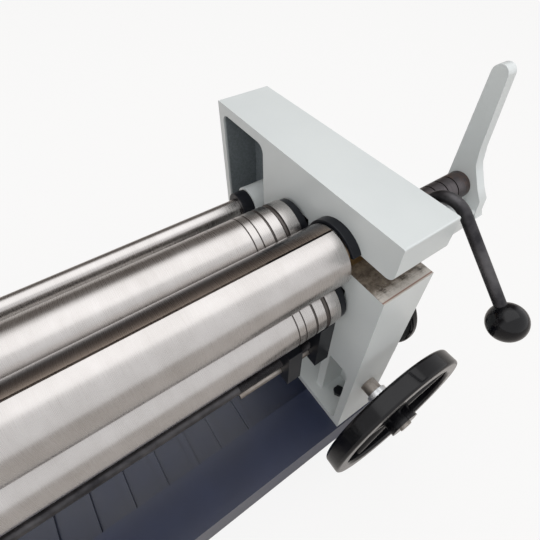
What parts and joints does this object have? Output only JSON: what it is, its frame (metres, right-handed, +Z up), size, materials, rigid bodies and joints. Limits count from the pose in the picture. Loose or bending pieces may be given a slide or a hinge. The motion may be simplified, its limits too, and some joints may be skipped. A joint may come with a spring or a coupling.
{
  "type": "slip roll machine",
  "caption": "Bench slip roll with geared crank drive, swing-out upper roll with lock lever, and screw-adjusted lower and rear rolls between cast end frames.",
  "frame": {"origin": "On the bench face, under the middle of the upper roll axis", "axes": "+X along the rolls towards the swing-out end, +Y away from the operator, +Z up"},
  "size_m": [1.5616, 0.4448, 0.6294],
  "materials": {
    "cast_paint": "light grey enamel on cast iron",
    "sheet_paint": "light grey enamel on sheet steel",
    "base_paint": "dark blue satin enamel",
    "ground_steel": "ground roll steel",
    "burnished_steel": "burnished black oxide",
    "satin_black": "satin black",
    "gloss_black": "gloss black phenolic",
    "zinc": "bright zinc plate",
    "machine_steel": "machined steel, oiled",
    "bronze": "bearing bronze",
    "black_iron": "blackened cast iron"
  },
  "bodies": {
    "frame": {"front_rail": "base_paint", "rear_rail": "base_paint", "upper_collar": "satin_black", "drip_tray": "base_paint", "left_frame": "cast_paint", "right_frame": "cast_paint", "frame_bolts": "satin_black", "tie_rods": "ground_steel", "tie_collars": "satin_black", "keeper_plates": "sheet_paint", "keeper_screws": "satin_black", "outer_arm": "cast_paint", "arm_bolts": "satin_black", "lock_housing": "burnished_steel", "shaft_flange": "black_iron", "shaft_bracket": "satin_black", "stop_guide": "machine_steel", "spindle_bushes": "machine_steel", "gear_plate": "sheet_paint", "gear_cover": "sheet_paint"},
    "swing": {"swivel_bearing": "bronze", "roll_bush": "bronze"},
    "upper_roll": {"upper_roll": "ground_steel"},
    "lock": {"lock_ring": "burnished_steel", "lever_rod": "burnished_steel", "lever_ball": "gloss_black"},
    "lower_lift": {"lower_blocks": "black_iron"},
    "lower_roll": {"lower_roll": "ground_steel", "lower_collars": "satin_black", "drive_gear": "machine_steel"},
    "rear_lift": {"rear_blocks": "black_iron", "rear_screws": "burnished_steel"},
    "rear_roll": {"rear_roll": "ground_steel", "rear_collars": "satin_black"},
    "right_wheel": {"right_wheel": "gloss_black", "right_wheel_nut": "zinc", "right_spindle": "machine_steel", "right_pinion": "machine_steel"},
    "right_nut": {"right_bevel_nut": "machine_steel"},
    "left_wheel": {"left_wheel": "gloss_black", "left_wheel_nut": "zinc", "left_spindle": "machine_steel", "left_pinion": "machine_steel"},
    "left_nut": {"left_bevel_nut": "machine_steel"},
    "side_wheel": {"side_wheel": "gloss_black", "cross_shaft": "burnished_steel", "side_nut": "zinc"},
    "wedges": {"lift_wedges": "machine_steel", "stop_block": "satin_black"},
    "crank": {"crank_pinion": "machine_steel", "crank_arm": "satin_black", "grip_pin": "zinc"},
    "grip": {"crank_grip": "gloss_black"}
  },
  "joints": [
    {"name": "upper_roll_swing", "type": "hinge", "parent": "frame", "child": "swing", "pos_m": [-0.5785, 0, 0.48], "axis": [0, 0, 1], "range_deg": [-12, 0]},
    {"name": "upper_roll_spin", "type": "hinge", "parent": "swing", "child": "upper_roll", "pos_m": [0, 0, 0.48], "axis": [1, 0, 0], "continuous": true},
    {"name": "lock_lever", "type": "hinge", "parent": "swing", "child": "lock", "pos_m": [0.644, 0, 0.48], "axis": [1, 0, 0], "range_deg": [-100, 0]},
    {"name": "side_wheel_turn", "type": "hinge", "parent": "frame", "child": "side_wheel", "pos_m": [0.66, 0, 0.294], "axis": [1, 0, 0], "range_deg": [0, 2882]},
    {"name": "wedge_slide", "type": "slide", "parent": "frame", "child": "wedges", "axis": [1, 0, 0], "range_m": [0, 0.0202]},
    {"name": "lower_roll_lift", "type": "slide", "parent": "frame", "child": "lower_lift", "axis": [0, 0, -1], "range_m": [0, 0.003]},
    {"name": "lower_roll_spin", "type": "hinge", "parent": "lower_lift", "child": "lower_roll", "pos_m": [0, 0, 0.4038], "axis": [1, 0, 0], "continuous": true},
    {"name": "right_wheel_turn", "type": "hinge", "parent": "frame", "child": "right_wheel", "pos_m": [0.5785, -0.13, 0.218], "axis": [0, 1, 0], "range_deg": [0, 2882]},
    {"name": "left_wheel_turn", "type": "hinge", "parent": "frame", "child": "left_wheel", "pos_m": [-0.5785, -0.13, 0.218], "axis": [0, 1, 0], "range_deg": [0, 2882]},
    {"name": "right_nut_turn", "type": "hinge", "parent": "frame", "child": "right_nut", "pos_m": [0.5785, 0.0782, 0.218], "axis": [0, 0, 1], "range_deg": [0, 2882]},
    {"name": "left_nut_turn", "type": "hinge", "parent": "frame", "child": "left_nut", "pos_m": [-0.5785, 0.0782, 0.218], "axis": [0, 0, 1], "range_deg": [0, 2882]},
    {"name": "rear_roll_lift", "type": "slide", "parent": "frame", "child": "rear_lift", "axis": [0, 0, -1], "range_m": [0, 0.048]},
    {"name": "rear_roll_spin", "type": "hinge", "parent": "rear_lift", "child": "rear_roll", "pos_m": [0, 0.0782, 0.4591], "axis": [1, 0, 0], "continuous": true},
    {"name": "crank_turn", "type": "hinge", "parent": "frame", "child": "crank", "pos_m": [-0.67, 0, 0.4878], "axis": [1, 0, 0], "continuous": true},
    {"name": "grip_spin", "type": "hinge", "parent": "crank", "child": "grip", "pos_m": [-0.73, 0, 0.2878], "axis": [1, 0, 0], "continuous": true}
  ],
  "couplings": [
    {"joint": "wedge_slide", "follows": "lower_roll_lift", "ratio": 6.6667},
    {"joint": "side_wheel_turn", "follows": "lower_roll_lift", "rad_per_m": 16755},
    {"joint": "right_wheel_turn", "follows": "rear_roll_lift", "rad_per_m": 1047.2},
    {"joint": "left_wheel_turn", "follows": "rear_roll_lift", "rad_per_m": 1047.2},
    {"joint": "right_nut_turn", "follows": "rear_roll_lift", "rad_per_m": 1047.2},
    {"joint": "left_nut_turn", "follows": "rear_roll_lift", "rad_per_m": 1047.2},
    {"joint": "crank_turn", "follows": "lower_roll_spin", "ratio": -2.5}
  ]
}
